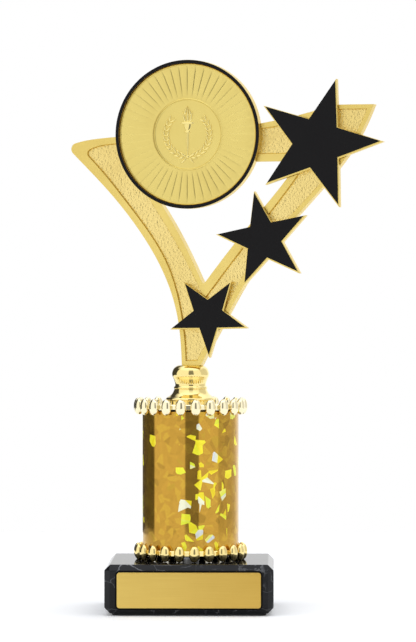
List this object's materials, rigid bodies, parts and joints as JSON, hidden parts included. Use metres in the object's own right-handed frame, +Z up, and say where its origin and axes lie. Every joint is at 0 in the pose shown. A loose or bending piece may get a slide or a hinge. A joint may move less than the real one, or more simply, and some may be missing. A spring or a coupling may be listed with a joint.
{
  "type": "star trophy",
  "caption": "Tabletop trophy: a swept gold triangle with stars and a round centre disc, on a foil column and a marble base.",
  "frame": {"origin": "under the foam pad, on the axis of the tie rod, where the trophy meets the table", "axes": "+Z up the rod; -Y out of the base's front, where the engraving plate is; +X to the viewer's right"},
  "size_m": [0.1107, 0.0596, 0.1938],
  "materials": {
    "marble": "black with fine pale veins, polished",
    "foam": "soft closed-cell foam",
    "plate_metal": "satin, gold anodised, blank",
    "tape": "double-sided tape",
    "zinc_steel": "zinc plated",
    "tube_plastic": "plain moulded",
    "foil": "gold holographic foil with angular shards",
    "plated_gold": "vacuum-plated bright gold",
    "satin_gold": "satin gold, stippled in the sunk panels",
    "black_film": "satin black film",
    "disc_metal": "struck, bright pale gold",
    "brass": "machined"
  },
  "bodies": {
    "stand": {"marble_base": "marble", "base_pad": "foam", "plate_tape": "tape", "engraving_plate": "plate_metal", "tie_rod": "zinc_steel", "base_washer": "zinc_steel", "spring_washer": "zinc_steel", "base_nut": "zinc_steel", "lower_ring": "plated_gold", "column_tube": "tube_plastic", "column_foil": "foil", "upper_ring": "plated_gold"},
    "figure": {"neck": "plated_gold", "neck_insert": "brass", "figure_frame": "satin_gold", "large_star": "satin_gold", "large_star_film": "black_film", "middle_star": "satin_gold", "middle_star_film": "black_film", "small_star": "satin_gold", "small_star_film": "black_film", "disc_holder": "satin_gold", "holder_trim": "black_film", "disc_tape": "tape", "centre_disc": "disc_metal"}
  },
  "joints": [
    {"name": "figure_turn", "type": "hinge", "parent": "stand", "child": "figure", "pos_m": [0, 0, 0.0734], "axis": [0, 0, 1], "range_deg": [-180, 180]}
  ]
}
